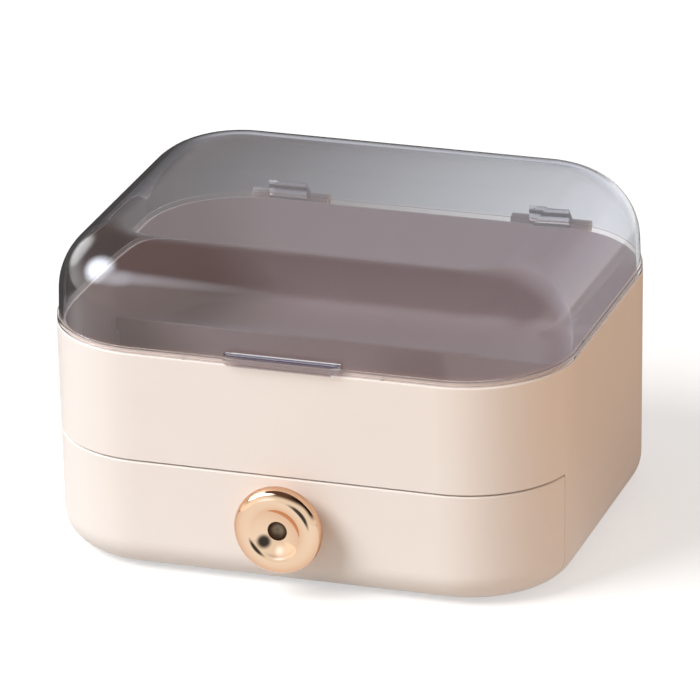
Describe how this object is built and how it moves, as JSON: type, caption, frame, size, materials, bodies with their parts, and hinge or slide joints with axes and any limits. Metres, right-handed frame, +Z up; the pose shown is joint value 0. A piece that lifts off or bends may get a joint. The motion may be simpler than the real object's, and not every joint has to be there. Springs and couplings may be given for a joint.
{
  "type": "makeup organizer box",
  "caption": "Rounded desktop cosmetics box with a clear hinged dust lid over a divided upper bay and a pull-out drawer whose front wraps the front corners, with a round knob.",
  "frame": {"origin": "on the table, under the middle of the bounding box", "axes": "+X to the box's right, the drawer opens towards -Y, +Z up"},
  "size_m": [0.235, 0.2178, 0.147],
  "materials": {
    "cream_abs": "fine matte moulded ABS, warm cream",
    "inner_cream_abs": "smooth satin moulding, slightly darker cream",
    "smoked_clear": "polished see-through smoked plastic",
    "rose_gold_plating": "mirror-bright rose-gold plating",
    "steel": "zinc-plated steel",
    "brass": "turned brass",
    "grey_rubber": "matte grey silicone rubber",
    "white_plastic": "slippery off-white acetal"
  },
  "bodies": {
    "housing": {"housing_shell": "cream_abs", "base_plate": "cream_abs", "base_screws": "steel", "foot_front_left": "grey_rubber", "foot_front_right": "grey_rubber", "foot_rear_left": "grey_rubber", "foot_rear_right": "grey_rubber", "rail_left": "white_plastic", "rail_right": "white_plastic", "rail_screws": "steel", "cross_divider": "inner_cream_abs", "rim_pads": "grey_rubber", "hinge_pin_left": "steel", "hinge_pin_right": "steel"},
    "lid": {"lid": "smoked_clear"},
    "drawer": {"drawer_front": "cream_abs", "drawer_tray": "inner_cream_abs", "front_screws": "steel", "drawer_divider": "inner_cream_abs", "knob": "rose_gold_plating", "knob_insert": "brass", "knob_washer": "grey_rubber", "knob_screw": "steel", "shoe_left": "white_plastic", "shoe_right": "white_plastic", "shoe_screws": "steel"}
  },
  "joints": [
    {"name": "lid_hinge", "type": "hinge", "parent": "housing", "child": "lid", "pos_m": [0, 0.10447, 0.1035], "axis": [-1, 0, 0], "range_deg": [0, 100]},
    {"name": "drawer_slide", "type": "slide", "parent": "housing", "child": "drawer", "axis": [0, -1, 0], "range_m": [0, 0.125]}
  ]
}
